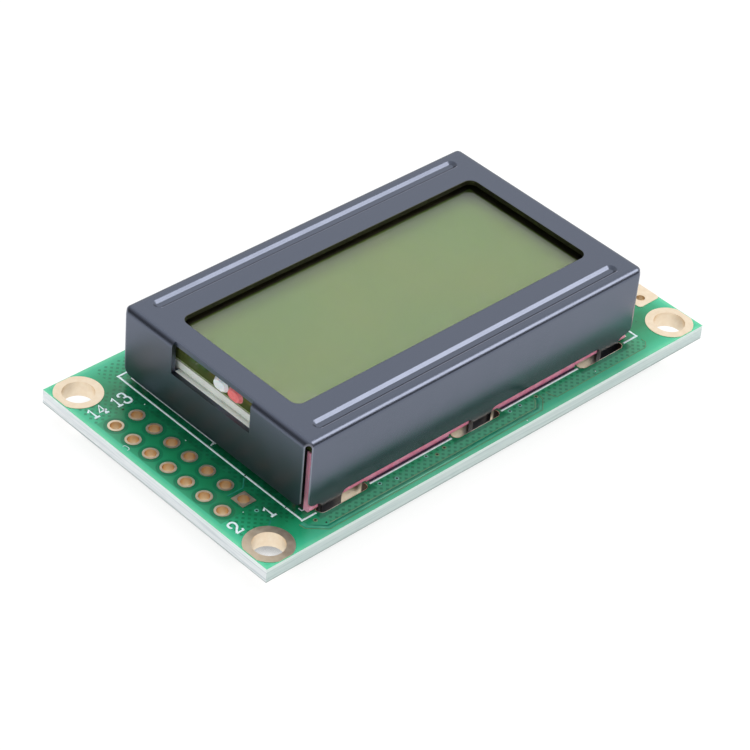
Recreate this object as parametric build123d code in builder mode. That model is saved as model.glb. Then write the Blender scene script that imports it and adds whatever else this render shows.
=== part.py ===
from build123d import *
import os
from math import asin, radians, sin

# Character display module: a green circuit board that carries a two-line liquid crystal cell,
# its rubber contacts and its light box under one folded black steel bezel.
#
# Frame: +X runs along the board from the solder pins to the far end, +Y runs across it from
# pin 1 to pin 13, +Z is up through the display. The origin is under the middle of the board,
# at the tips of the bezel's twisted tabs, which are what the module stands on.


# Driving dimensions in millimetres

# Circuit board
board_length = 58.0
board_width = 32.0
board_thickness = 1.6
plating = 0.05              # thickness of the plated metal, in the holes and on the board's faces
solder_gap = 0.03           # room between a lead and the metal round it

# Mounting holes, one at each corner of the board
mounting_edge_x = 2.35      # from the board's short edge to the hole's centre
mounting_edge_y = 2.4       # from the board's long edge to the hole's centre
mounting_hole_diameter = 3.2
mounting_pad_diameter = 4.85
pad_edge_gap = 0.1          # the pads are cut off this far from the board's edges

# Header holes, two rows at the left end
pin_pitch = 2.54
pins_per_row = 7
header_edge = 3.3           # from the board's short edge to the middle of the header
pin_hole_diameter = 1.15
pin_pad_diameter = 1.6
first_pin_pad = 1.65        # side of the square pad of pin 1

# Lamp pads at the right end, one for each pole
lamp_pad_length = 2.9       # from the board's edge inwards
lamp_pad_width = 3.2
lamp_pad_corner = 0.35
lamp_pad_inset = 5.05       # from the mounting hole's line to the pad's centre, along Y
lamp_hole_shift = 0.5       # from the pad's centre outwards, along Y
lamp_hole_edge = 1.65
lamp_hole_diameter = 0.9

# Bezel, folded from one sheet
bezel_length = 44.0
bezel_width = 26.0
sheet = 0.5
bend_inside_radius = 0.2
skirt_gap = 0.95            # from the board up to the lower edge of the walls
wall_corner = 0.95          # rounding of the walls' lower corners
slit_width = 0.62           # open corner between two folded walls
slit_depth_below_top = 0.3

# Viewing window in the bezel's top
window_length = 38.0
window_width = 16.2
window_corner = 0.9
window_edge_round = 0.1

# Two stiffening beads, pressed down into the bezel's top
bead_end = 2.25             # from the bezel's short side to the bead's end
bead_width = 1.3
bead_depth = 0.25
bead_run = 0.36             # width of each sloping side of a bead
bead_edge = 1.85            # from the bezel's long side to the bead's centre line
bead_lip_round = 0.12

# Opening in the left wall, in front of the cell's filling hole
side_window_length = 11.0
side_window_shift = 0.3
side_window_sill = 5.0      # from the board up to the sill
side_window_setback = 0.4   # how far the opening eats into the top bend

# Tabs that pass through the board and are twisted under it
tab_width = 2.4
tab_shifts = (-1.3, 0.8, 1.3)  # from the middle of each slot to the middle of its tab
tab_root_round = 0.7
tab_reach = 1.5             # how far the twisted ends stand out below the board
tab_twist = 38.0            # degrees

# Plated slots for the tabs
slot_pitch = 17.2
slot_length = 6.0
slot_width = 1.1
slot_shift = 0.15           # slot's centre line outside the middle of the wall

# Rubber contact strips, pink insulating walls each side of a conducting core
strip_height = 6.85
strip_end_gap = 0.45        # from the strip's end to the bezel's end wall
strip_wall = 0.5
strip_core = 1.0
strip_to_bezel = 0.05
strip_bulge = 0.3           # rubber squeezed out under the bezel's wall
bulge_room = 0.15           # from the squeezed rubber up to the bezel's wall
bulge_to_tab = 0.35

# Liquid crystal cell
front_glass_thickness = 0.8
rear_glass_thickness = 0.8
glass_end_gap = 0.6         # from the glass's end to the bezel's end wall
front_glass_to_bezel = 0.2
rear_glass_to_strip = 0.2
polariser_thickness = 0.2
polariser_margin = 0.3
rear_film_thickness = 0.25
rear_film_margin = 0.2

# Drops that close the cell's filling hole, on the left end of the glass
seal_height = 1.45
seal_bulge = 0.32
seal_taper = 35.0           # degrees
clear_seal_length = 1.95
clear_seal_shift = 0.03
dyed_seal_length = 2.0
seal_spacing = 0.05

# Light box under the cell
light_box_clearance = 0.2   # from the rubber strips
lamp_board_thickness = 1.0
diffuser_thickness = 0.2
cup_columns = 7
cup_rows = 2
cup_wall = 0.6              # wall between two cups at the top
cup_slope = 1.3             # how far each side of a cup leans in on its way down
box_wall = 1.4
box_rim_height = 0.8        # full-length rim at the top of the light box
box_step = 0.7              # how far the box below the rim stands back, at each short end
chip_side = 0.4
chip_height = 0.25

# Leads that carry the light box's current down through the board
lead_diameter = 0.5
lead_inset = 2.3            # from the lamp board's right end
lead_spacing = 12.0
lead_hole_diameter = 0.8
lead_pad_diameter = 1.6
lead_tail = 0.7
solder_height = 0.55
solder_curve = 1.1          # radius of the hollow side of the solder

# Controller die under a drop of black resin
resin_diameter = 13.0
resin_height = 1.2
resin_curve = (resin_diameter**2 / 4 + resin_height**2) / (2 * resin_height)
resin_x = 3.0

# Chip resistors and capacitors on the underside
chip_part_length = 2.0
chip_part_width = 1.25
resistor_height = 0.5
capacitor_height = 0.85
end_cap_length = 0.35
joint_length = 0.45
joint_rise = 0.8            # height of the solder on a cap, as a share of the cap's height
resistor_pitch = 2.3
resistor_count = 5
resistor_x = -12.5          # middle of the row of resistors
capacitor_places = ((14.0, 5.0), (14.0, -5.0))


# Levels, each worked out from the board upwards

board_bottom = tab_reach
board_top = board_bottom + board_thickness
skirt_level = board_top + skirt_gap
glass_level = board_top + strip_height
polariser_level = glass_level + front_glass_thickness
bead_level = polariser_level + polariser_thickness
underside_level = bead_level + bead_depth
bezel_top = underside_level + sheet
rear_glass_level = glass_level - rear_glass_thickness
light_box_top = rear_glass_level - rear_film_thickness

# Places in plan, each worked out from the edges that it depends on

wall_middle = bezel_width / 2 - sheet / 2
slot_line = wall_middle + slot_shift
strip_length = bezel_length - 2 * sheet - 2 * strip_end_gap
strip_outer = bezel_width / 2 - sheet - strip_to_bezel
strip_inner = strip_outer - 2 * strip_wall - strip_core
bead_line = bezel_width / 2 - bead_edge
bead_length = bezel_length - 2 * bead_end
bend_outside_radius = bend_inside_radius + sheet
slit_angle = asin(slit_width / 2 / bend_outside_radius)
wall_overrun = bend_outside_radius * sin(radians(45) - slit_angle)  # wall's end past its bend line
glass_length = bezel_length - 2 * sheet - 2 * glass_end_gap
light_box_width = 2 * (strip_inner - light_box_clearance)
light_box_foot = glass_length - 2 * box_step
strip_bulge_height = skirt_gap - bulge_room

mounting_x = board_length / 2 - mounting_edge_x
mounting_y = board_width / 2 - mounting_edge_y
mounting_places = [(x, y) for x in (-mounting_x, mounting_x) for y in (-mounting_y, mounting_y)]

header_x = -board_length / 2 + header_edge
pin_rows_y = [(row - (pins_per_row - 1) / 2) * pin_pitch for row in range(pins_per_row)]
pin_places = [(header_x + side * pin_pitch / 2, y) for side in (-1, 1) for y in pin_rows_y]
first_pin = (header_x + pin_pitch / 2, pin_rows_y[0])
round_pin_places = [place for place in pin_places if place != first_pin]

slot_centres = [number * slot_pitch for number in (-1, 0, 1)]
tab_centres = [centre + shift for centre, shift in zip(slot_centres, tab_shifts)]
slot_places = [(x, side * slot_line) for side in (-1, 1) for x in slot_centres]
tab_places = [(x, side * wall_middle) for side in (-1, 1) for x in tab_centres]

lamp_pad_x = board_length / 2 - lamp_pad_length / 2
lamp_pad_y = mounting_y - lamp_pad_inset
lamp_pad_places = [(lamp_pad_x, side * lamp_pad_y) for side in (-1, 1)]
lamp_hole_x = board_length / 2 - lamp_hole_edge
lamp_hole_places = [(lamp_hole_x, side * (lamp_pad_y + lamp_hole_shift)) for side in (-1, 1)]
lead_x = glass_length / 2 - lead_inset
lead_places = [(lead_x, side * lead_spacing / 2) for side in (-1, 1)]

resistor_places = [
    (resistor_x + (number - (resistor_count - 1) / 2) * resistor_pitch, 0)
    for number in range(resistor_count)
]

level_tolerance = 0.0001    # edges this close in height lie at the same level

os.makedirs("parts", exist_ok=True)


def finish(builder, name):
    """Label a finished piece and write it to its own file."""
    builder.part.label = name
    export_step(builder.part, f"parts/{name}.step")


def at_level(edge, level):
    """Say whether an edge lies flat at a level."""
    box = edge.bounding_box()
    return max(abs(box.min.Z - level), abs(box.max.Z - level)) < level_tolerance


def on_bead(edge):
    """Say whether an edge belongs to the outline of a bead."""
    return abs(abs(edge.center().Y) - bead_line) < bead_width


# The board's two faces, with the way that leads out of it from each
board_faces = ((board_bottom, -1), (board_top, 1))


# Circuit board: drilled and slotted, each hole wide enough for its plated wall
with BuildPart() as circuit_board:
    with BuildSketch(Plane.XY.offset(board_bottom)):
        Rectangle(board_length, board_width)
        with Locations(*mounting_places):
            Circle(mounting_hole_diameter / 2 + plating, mode=Mode.SUBTRACT)
        with Locations(*pin_places):
            Circle(pin_hole_diameter / 2 + plating, mode=Mode.SUBTRACT)
        with Locations(*lamp_hole_places):
            Circle(lamp_hole_diameter / 2 + plating, mode=Mode.SUBTRACT)
        with Locations(*lead_places):
            Circle(lead_hole_diameter / 2 + plating, mode=Mode.SUBTRACT)
        with Locations(*slot_places):
            SlotOverall(slot_length + 2 * plating, slot_width + 2 * plating, mode=Mode.SUBTRACT)
    extrude(amount=board_thickness)
finish(circuit_board, "circuit_board")


# Plated holes: each has a thin wall through the board and a flat pad on the board's faces
def plate_holes(name, hole_places, hole_diameter, draw_pads, faces=board_faces):
    """Make the plated walls of a set of holes, with the pads that draw_pads sketches."""
    with BuildPart() as plated:
        with BuildSketch(Plane.XY.offset(board_bottom)):
            with Locations(*hole_places):
                Circle(hole_diameter / 2 + plating)
                Circle(hole_diameter / 2, mode=Mode.SUBTRACT)
        extrude(amount=board_thickness)
        for level, outwards in faces:
            with BuildSketch(Plane.XY.offset(level)):
                draw_pads()
                with Locations(*hole_places):
                    Circle(hole_diameter / 2, mode=Mode.SUBTRACT)
            extrude(amount=outwards * plating)
    finish(plated, name)


def mounting_pads():
    """Wide rings round the four corner holes, cut off beside the board's edges."""
    with Locations(*mounting_places):
        Circle(mounting_pad_diameter / 2)
    pad_room_x = board_length - 2 * pad_edge_gap
    pad_room_y = board_width - 2 * pad_edge_gap
    Rectangle(pad_room_x, pad_room_y, mode=Mode.INTERSECT)


def header_pads():
    """Small rings round the header's holes, with a square pad that marks pin 1."""
    with Locations(*round_pin_places):
        Circle(pin_pad_diameter / 2)
    with Locations(first_pin):
        Rectangle(first_pin_pad, first_pin_pad)


def lamp_pads():
    """One large pad for each pole, at the board's right edge."""
    with Locations(*lamp_pad_places):
        RectangleRounded(lamp_pad_length, lamp_pad_width, lamp_pad_corner)


def lead_pads():
    """Rings round the light box's two leads."""
    with Locations(*lead_places):
        Circle(lead_pad_diameter / 2)


plate_holes("mounting_hole_plating", mounting_places, mounting_hole_diameter, mounting_pads)
plate_holes("header_pad_plating", pin_places, pin_hole_diameter, header_pads)
plate_holes("lamp_pad_plating", lamp_hole_places, lamp_hole_diameter, lamp_pads)
plate_holes("lead_pad_plating", lead_places, lead_hole_diameter, lead_pads, board_faces[:1])


# Slot plating: a thin lining in each of the six slots for the bezel's tabs
with BuildPart() as slot_plating:
    with BuildSketch(Plane.XY.offset(board_bottom)):
        with Locations(*slot_places):
            SlotOverall(slot_length + 2 * plating, slot_width + 2 * plating)
            SlotOverall(slot_length, slot_width, mode=Mode.SUBTRACT)
    extrude(amount=board_thickness)
finish(slot_plating, "slot_plating")


# Bezel: the folded steel cover, with its window, beads, open corners and twisted tabs
with BuildPart() as bezel:
    # the folded tray, upside down over the cell
    with BuildSketch(Plane.XY.offset(skirt_level)):
        Rectangle(bezel_length, bezel_width)
    extrude(amount=bezel_top - skirt_level)
    fillet(bezel.edges().filter_by(Axis.Z), bend_outside_radius)
    fillet(bezel.faces().sort_by(Axis.Z)[-1].edges(), bend_outside_radius)
    offset(amount=-sheet, openings=bezel.faces().sort_by(Axis.Z)[0])

    # the beads push the sheet down, so that their undersides press on the cell
    bead_slope = 90 - Vector(bead_run, bead_depth).get_angle(Vector(1, 0))
    with BuildSketch(Plane.XY.offset(underside_level)):
        with Locations((0, -bead_line), (0, bead_line)):
            SlotOverall(bead_length, bead_width)
    extrude(amount=-bead_depth, taper=bead_slope)
    with BuildSketch(Plane.XY.offset(bezel_top)):
        with Locations((0, -bead_line), (0, bead_line)):
            SlotOverall(bead_length, bead_width)
    extrude(amount=-bead_depth, taper=bead_slope, mode=Mode.SUBTRACT)
    bead_lips = bezel.edges().filter_by(lambda edge: at_level(edge, bezel_top) and on_bead(edge))
    fillet(bead_lips, bead_lip_round)

    # the viewing window
    with BuildSketch(Plane.XY.offset(bezel_top)):
        RectangleRounded(window_length, window_width, window_corner)
    extrude(amount=-sheet, mode=Mode.SUBTRACT)
    window_lip = bezel.edges().filter_by(
        lambda edge: at_level(edge, bezel_top)
        and abs(edge.center().Y) < window_width / 2 + window_corner
        and abs(edge.center().X) < window_length / 2 + window_corner
    )
    fillet(window_lip, window_edge_round)

    # the four open corners, each a slit with a round end under the top
    slit_height = bezel_top - skirt_level
    slit_middle = bezel_top - slit_depth_below_top - slit_height / 2
    for x_way in (-1, 1):
        for y_way in (-1, 1):
            corner = (x_way * bezel_length / 2, y_way * bezel_width / 2, slit_middle)
            inwards = Vector(-x_way, -y_way, 0)
            with BuildSketch(Plane(origin=corner, x_dir=(0, 0, 1), z_dir=inwards)):
                SlotOverall(slit_height, slit_width)
            extrude(amount=2 * bend_outside_radius, both=True, mode=Mode.SUBTRACT)

    # rounded lower corners of the walls beside each open corner
    for x_way in (-1, 1):
        for y_way in (-1, 1):
            side_end = x_way * (bezel_length / 2 - bend_outside_radius + wall_overrun)
            with BuildSketch(Plane.XZ.offset(-y_way * (bezel_width / 2 - sheet))):
                with Locations((side_end, skirt_level)):
                    Rectangle(2 * wall_corner, 2 * wall_corner)
                with Locations((side_end - x_way * wall_corner, skirt_level + wall_corner)):
                    Circle(wall_corner, mode=Mode.SUBTRACT)
            extrude(amount=-y_way * sheet, mode=Mode.SUBTRACT)
            end_end = y_way * (bezel_width / 2 - bend_outside_radius + wall_overrun)
            with BuildSketch(Plane.YZ.offset(x_way * (bezel_length / 2 - sheet))):
                with Locations((end_end, skirt_level)):
                    Rectangle(2 * wall_corner, 2 * wall_corner)
                with Locations((end_end - y_way * wall_corner, skirt_level + wall_corner)):
                    Circle(wall_corner, mode=Mode.SUBTRACT)
            extrude(amount=x_way * sheet, mode=Mode.SUBTRACT)

    # the opening in the left wall, pierced before the fold, so that it runs up into the bend
    outside_x = -bezel_length / 2
    with BuildSketch(Plane.XZ.offset(-side_window_shift)):
        with BuildLine():
            Polyline(
                (outside_x - sheet, board_top + side_window_sill),
                (outside_x + bend_outside_radius, board_top + side_window_sill),
                (outside_x + bend_outside_radius, underside_level),
                (outside_x + side_window_setback, underside_level),
                (outside_x + side_window_setback, bezel_top + sheet),
                (outside_x - sheet, bezel_top + sheet),
                close=True,
            )
        make_face()
    extrude(amount=side_window_length / 2, both=True, mode=Mode.SUBTRACT)

    # straight part of the tabs, down through the board
    with BuildSketch(Plane.XY.offset(board_bottom)):
        with Locations(*tab_places):
            Rectangle(tab_width, sheet)
    extrude(amount=skirt_level - board_bottom)
    tab_roots = bezel.edges().filter_by(Axis.Y).filter_by(
        lambda edge: at_level(edge, skirt_level)
        and abs(abs(edge.center().Y) - wall_middle) < sheet / 4
    )
    fillet(tab_roots, tab_root_round)

    # twisted part of the tabs, which holds the board up against the rubber strips
    for tab_place in tab_places:
        with BuildSketch(Plane.XY.offset(board_bottom)):
            with Locations(tab_place):
                Rectangle(tab_width, sheet)
        with BuildSketch(Plane.XY.offset(board_bottom - tab_reach)):
            with Locations(tab_place):
                Rectangle(tab_width, sheet, rotation=tab_twist)
        loft(ruled=True)
finish(bezel, "bezel")


# Rubber contact strips: one at each long side, between the board and the front glass
for side, side_name in ((-1, "front"), (1, "rear")):
    outer_wall_middle = side * (strip_outer - strip_wall / 2)
    core_middle = side * (strip_outer - strip_wall - strip_core / 2)
    inner_wall_middle = side * (strip_inner + strip_wall / 2)

    with BuildPart() as contact_core:
        with BuildSketch(Plane.XY.offset(board_top)):
            with Locations((0, core_middle)):
                Rectangle(strip_length, strip_core)
        extrude(amount=strip_height)
    finish(contact_core, f"{side_name}_contact_core")

    with BuildPart() as contact_rubber:
        with BuildSketch(Plane.XY.offset(board_top)):
            with Locations((0, outer_wall_middle), (0, inner_wall_middle)):
                Rectangle(strip_length, strip_wall)
        extrude(amount=strip_height)
        # the foot that is squeezed out under the bezel's wall, with room left for the tabs
        with BuildSketch(Plane.YZ.offset(-strip_length / 2)):
            with BuildLine():
                foot = Polyline(
                    (side * strip_outer, board_top + strip_bulge_height),
                    (side * (strip_outer - strip_wall / 2), board_top + strip_bulge_height),
                    (side * (strip_outer - strip_wall / 2), board_top),
                    (side * strip_outer, board_top),
                )
                ThreePointArc(
                    foot @ 1,
                    (side * (strip_outer + strip_bulge), board_top + strip_bulge_height / 2),
                    foot @ 0,
                )
            make_face()
        extrude(amount=strip_length)
        with BuildSketch(Plane.XY.offset(board_top)):
            with Locations(*[(x, side * (strip_outer + tab_width / 2)) for x in tab_centres]):
                Rectangle(tab_width + 2 * bulge_to_tab, tab_width)
        extrude(amount=skirt_gap, mode=Mode.SUBTRACT)
    finish(contact_rubber, f"{side_name}_contact_rubber")


# Front glass: the wider plate, whose two long margins lie on the rubber strips
front_glass_width = bezel_width - 2 * sheet - 2 * front_glass_to_bezel
with BuildPart() as front_glass:
    with BuildSketch(Plane.XY.offset(glass_level)):
        Rectangle(glass_length, front_glass_width)
    extrude(amount=front_glass_thickness)
finish(front_glass, "front_glass")


# Rear glass: the narrower plate between the strips
rear_glass_width = 2 * (strip_inner - rear_glass_to_strip)
with BuildPart() as rear_glass:
    with BuildSketch(Plane.XY.offset(rear_glass_level)):
        Rectangle(glass_length, rear_glass_width)
    extrude(amount=rear_glass_thickness)
finish(rear_glass, "rear_glass")


# Front polariser: the film on the front glass, seen through the window
with BuildPart() as front_polariser:
    with BuildSketch(Plane.XY.offset(polariser_level)):
        Rectangle(glass_length - 2 * polariser_margin, front_glass_width - 2 * polariser_margin)
    extrude(amount=polariser_thickness)
finish(front_polariser, "front_polariser")


# Rear polariser: the half-mirror film under the rear glass
with BuildPart() as rear_polariser:
    with BuildSketch(Plane.XY.offset(light_box_top)):
        Rectangle(glass_length - 2 * rear_film_margin, rear_glass_width - 2 * rear_film_margin)
    extrude(amount=rear_film_thickness)
finish(rear_polariser, "rear_polariser")


# Filling-hole seals: a clear drop and a dyed drop of adhesive on the glass's left end
seal_face = Plane(origin=(-glass_length / 2, 0, glass_level), x_dir=(0, 1, 0), z_dir=(-1, 0, 0))
dyed_seal_shift = clear_seal_shift - clear_seal_length / 2 - seal_spacing - dyed_seal_length / 2
seals = (
    ("clear_end_seal", clear_seal_shift, clear_seal_length),
    ("dyed_end_seal", dyed_seal_shift, dyed_seal_length),
)
for seal_name, seal_shift, seal_length in seals:
    with BuildPart() as end_seal:
        with BuildSketch(seal_face):
            with Locations((seal_shift, 0)):
                SlotOverall(seal_length, seal_height)
        extrude(amount=seal_bulge, taper=seal_taper)
    finish(end_seal, seal_name)


# Lamp board: the thin board at the bottom of the light box
lamp_board_top = board_top + lamp_board_thickness
with BuildPart() as lamp_board:
    with BuildSketch(Plane.XY.offset(board_top)):
        Rectangle(light_box_foot, light_box_width)
        with Locations(*lead_places):
            Circle(lead_diameter / 2 + solder_gap, mode=Mode.SUBTRACT)
    extrude(amount=lamp_board_thickness)
finish(lamp_board, "lamp_board")


# Reflector: the white moulded block, with one flared cup over each light chip
reflector_height = light_box_top - diffuser_thickness - lamp_board_top
cup_pitch_x = (glass_length - 2 * box_wall + cup_wall) / cup_columns
cup_pitch_y = (light_box_width - 2 * box_wall + cup_wall) / cup_rows
cup_places = [
    ((column - (cup_columns - 1) / 2) * cup_pitch_x, (row - (cup_rows - 1) / 2) * cup_pitch_y)
    for column in range(cup_columns)
    for row in range(cup_rows)
]
with BuildPart() as reflector:
    with BuildSketch(Plane.XY.offset(lamp_board_top)):
        Rectangle(light_box_foot, light_box_width)
    extrude(amount=reflector_height)
    with BuildSketch(Plane.XY.offset(lamp_board_top + reflector_height)):
        Rectangle(glass_length, light_box_width)
    extrude(amount=-box_rim_height)
    with BuildSketch(Plane.XY.offset(lamp_board_top + reflector_height)):
        with Locations(*cup_places):
            Rectangle(cup_pitch_x - cup_wall, cup_pitch_y - cup_wall)
    cup_lean = 90 - Vector(cup_slope, reflector_height).get_angle(Vector(1, 0))
    extrude(amount=-reflector_height, taper=cup_lean, mode=Mode.SUBTRACT)
finish(reflector, "reflector")


# Light chips: one bare light-emitting chip at the foot of each cup
with BuildPart() as light_chips:
    with BuildSketch(Plane.XY.offset(lamp_board_top)):
        with Locations(*cup_places):
            Rectangle(chip_side, chip_side)
    extrude(amount=chip_height)
finish(light_chips, "light_chips")


# Diffuser: the frosted film over the cups
with BuildPart() as diffuser:
    with BuildSketch(Plane.XY.offset(light_box_top - diffuser_thickness)):
        Rectangle(glass_length, light_box_width)
    extrude(amount=diffuser_thickness)
finish(diffuser, "diffuser")


# Lamp leads: two straight pins from the lamp board down through the circuit board
with BuildPart() as lamp_leads:
    with BuildSketch(Plane.XY.offset(board_bottom - lead_tail)):
        with Locations(*lead_places):
            Circle(lead_diameter / 2)
    extrude(amount=lamp_board_top - board_bottom + lead_tail)
finish(lamp_leads, "lamp_leads")


# Lead solder: a concave cone of solder round each lead under the board
with BuildPart() as lead_solder:
    for place in lead_places:
        foot_centre = (*place, board_bottom)
        with BuildSketch(Plane(origin=foot_centre, x_dir=(1, 0, 0), z_dir=(0, -1, 0))):
            with BuildLine():
                joint = Polyline(
                    (lead_pad_diameter / 2, -plating),
                    (lead_diameter / 2 + solder_gap, -plating),
                    (lead_diameter / 2 + solder_gap, -solder_height),
                )
                RadiusArc(joint @ 1, joint @ 0, -solder_curve)
            make_face()
        revolve(axis=Axis(foot_centre, (0, 0, 1)))
finish(lead_solder, "lead_solder")


# Controller resin: the low black dome over the bare controller die
with BuildPart() as controller_resin:
    resin_foot = Plane(origin=(resin_x, 0, board_bottom), x_dir=(1, 0, 0), z_dir=(0, -1, 0))
    with BuildSketch(resin_foot):
        with BuildLine():
            rim = Line((0, 0), (resin_diameter / 2, 0))
            dome = RadiusArc(rim @ 1, (0, -resin_height), resin_curve)
            Line(dome @ 1, rim @ 0)
        make_face()
    revolve(axis=Axis((resin_x, 0, board_bottom), (0, 0, 1)))
finish(controller_resin, "controller_resin")


# Chip parts: each body has a metal cap at both ends and a wedge of solder beyond each cap
def chip_body(places, height, name):
    """Make the bodies of a set of chip parts, which lie along Y under the board."""
    with BuildPart() as body:
        with BuildSketch(Plane.XY.offset(board_bottom)):
            with Locations(*places):
                Rectangle(chip_part_width, chip_part_length - 2 * end_cap_length)
        extrude(amount=-height)
    finish(body, name)


def chip_caps(places, height, name):
    """Make the metal end caps of a set of chip parts."""
    cap_middle = (chip_part_length - end_cap_length) / 2
    with BuildPart() as caps:
        with BuildSketch(Plane.XY.offset(board_bottom)):
            with Locations(*[(x, y + end * cap_middle) for x, y in places for end in (-1, 1)]):
                Rectangle(chip_part_width, end_cap_length)
        extrude(amount=-height)
    finish(caps, name)


def chip_joints(places, height, name):
    """Make the solder wedges at the ends of a set of chip parts."""
    with BuildPart() as joints:
        for x, y in places:
            with BuildSketch(Plane.YZ.offset(x - chip_part_width / 2)):
                for end in (-1, 1):
                    cap_end = y + end * chip_part_length / 2
                    with BuildLine():
                        Polyline(
                            (cap_end, board_bottom),
                            (cap_end, board_bottom - height * joint_rise),
                            (cap_end + end * joint_length, board_bottom),
                            close=True,
                        )
                    make_face()
            extrude(amount=chip_part_width)
    finish(joints, name)


chip_body(resistor_places, resistor_height, "chip_resistors")
chip_caps(resistor_places, resistor_height, "resistor_end_caps")
chip_joints(resistor_places, resistor_height, "resistor_solder")
chip_body(capacitor_places, capacitor_height, "chip_capacitors")
chip_caps(capacitor_places, capacitor_height, "capacitor_end_caps")
chip_joints(capacitor_places, capacitor_height, "capacitor_solder")
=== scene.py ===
# %% [markdown]
# # Dressing a small character display
#
# The solids of this module come ready made: a drilled circuit board, a folded steel bezel, and the
# liquid crystal cell with its rubber contacts and light box. This lesson gives each of them its
# finish, prints the board, and sets up a plain white studio with the camera of a product photograph.
# Everything is in metres, and the solids are never moved, so each new piece goes where they say.

import math

import bpy
from mathutils import Matrix, Vector


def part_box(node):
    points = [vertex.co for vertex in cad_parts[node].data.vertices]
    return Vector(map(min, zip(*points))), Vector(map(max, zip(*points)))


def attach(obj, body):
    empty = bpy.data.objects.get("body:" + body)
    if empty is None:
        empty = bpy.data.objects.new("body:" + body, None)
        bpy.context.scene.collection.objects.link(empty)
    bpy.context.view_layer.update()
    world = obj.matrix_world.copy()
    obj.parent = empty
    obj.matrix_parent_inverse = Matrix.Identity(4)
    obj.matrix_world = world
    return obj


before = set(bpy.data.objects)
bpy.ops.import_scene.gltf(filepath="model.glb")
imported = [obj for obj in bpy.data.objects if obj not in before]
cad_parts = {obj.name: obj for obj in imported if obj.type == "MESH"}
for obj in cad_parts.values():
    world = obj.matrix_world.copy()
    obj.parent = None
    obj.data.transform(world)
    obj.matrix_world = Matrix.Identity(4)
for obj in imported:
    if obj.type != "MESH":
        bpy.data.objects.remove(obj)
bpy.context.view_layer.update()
MM = 0.001


def in_mm(vector):
    """The numbers of a vector in millimetres, rounded for printing."""
    return [round(v / MM, 2) for v in vector]


# %% [markdown]
# ## The camera
#
# The photograph was taken with a long lens from the front left and above. The camera's place and its
# three axes were worked out once, from the corners of the board, the holes and the bezel. A camera in
# Blender looks along its own -Z axis with +Y up, so the three axes can be written straight into its
# matrix. A long lens is the right choice for a small object, because it keeps parallel edges parallel.
# The Standard view transform shows each colour as it is written, which suits a white background.

# %% The camera
right = Vector((0.72870037, -0.68074437, 0.07471861))
down = Vector((-0.3816109, -0.49422734, -0.78109696))
forward = Vector((0.56865533, 0.54067221, -0.61992312))
camera_place = Vector((-158.877, -150.351, 173.575)) * MM
camera = bpy.data.objects.new("camera", bpy.data.cameras.new("camera"))
camera.data.sensor_width = 36.0
camera.data.lens = 137.0787
camera.data.clip_start = 0.01
axes = Matrix((right, -down, -forward)).transposed()
camera.matrix_world = Matrix.Translation(camera_place) @ axes.to_4x4()
bpy.context.scene.collection.objects.link(camera)
bpy.context.scene.camera = camera
bpy.context.scene.view_settings.view_transform = "Standard"
print("place of the camera in mm:", in_mm(camera_place))

# %% [markdown]
# ## A short way to write materials
#
# A finish on a real product is never one flat colour, so every material here is a small network of
# nodes. Writing such networks call by call is long, so this helper holds one material while it is
# built and adds its nodes: noise, colour ramps, sums and bumps. All patterns are read from Object
# coordinates, in metres, so they stay fixed to the piece and have a true size.

# %% A helper that builds one material
def linear(*levels):
    """A colour from 0-255 levels, as a screen shows them, in the linear values that Blender mixes."""
    return tuple(
        (v / 255 / 12.92) if v < 11 else ((v / 255 + 0.055) / 1.055) ** 2.4 for v in levels
    ) + (1.0,)


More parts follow.
